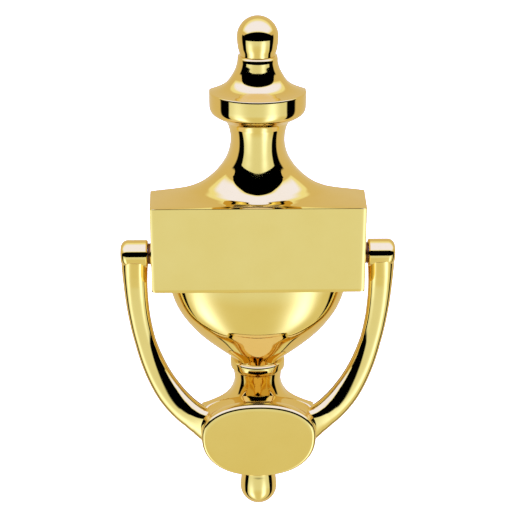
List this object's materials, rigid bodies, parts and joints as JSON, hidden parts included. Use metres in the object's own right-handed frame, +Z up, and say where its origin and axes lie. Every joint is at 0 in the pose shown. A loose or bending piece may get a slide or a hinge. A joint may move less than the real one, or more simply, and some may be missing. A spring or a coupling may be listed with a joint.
{
  "type": "door knocker",
  "caption": "Urn-shaped door knocker with a swinging stirrup striker, an oval hammer and a ball pull, bolted through the door.",
  "frame": {"origin": "midway between the two fixing studs, on the casting's flat back where it meets the door", "axes": "+Z up the door, +Y into the door along the studs, +X to the right for someone facing the knocker"},
  "size_m": [0.1072, 0.0852, 0.1951],
  "materials": {
    "polished_brass": "mirror polished and lacquered",
    "turned_brass": "turned, satin",
    "plated_steel": "zinc plated"
  },
  "bodies": {
    "urn": {"urn_casting": "polished_brass", "spacer_washer_left": "turned_brass", "spacer_washer_right": "turned_brass", "inner_washer_left": "plated_steel", "inner_washer_right": "plated_steel", "fixing_stud_upper": "plated_steel", "fixing_stud_lower": "plated_steel", "lock_nut_upper": "plated_steel", "lock_nut_lower": "plated_steel", "cover_washer_upper": "polished_brass", "cover_washer_lower": "polished_brass", "dome_nut_upper": "polished_brass", "dome_nut_lower": "polished_brass"},
    "striker": {"striker_casting": "polished_brass", "strike_button": "turned_brass", "pivot_screw_left": "plated_steel", "pivot_screw_right": "plated_steel"}
  },
  "joints": [
    {"name": "striker_lift", "type": "hinge", "parent": "urn", "child": "striker", "pos_m": [0, -0.011, 0.0062], "axis": [-1, 0, 0], "range_deg": [0, 130]}
  ]
}
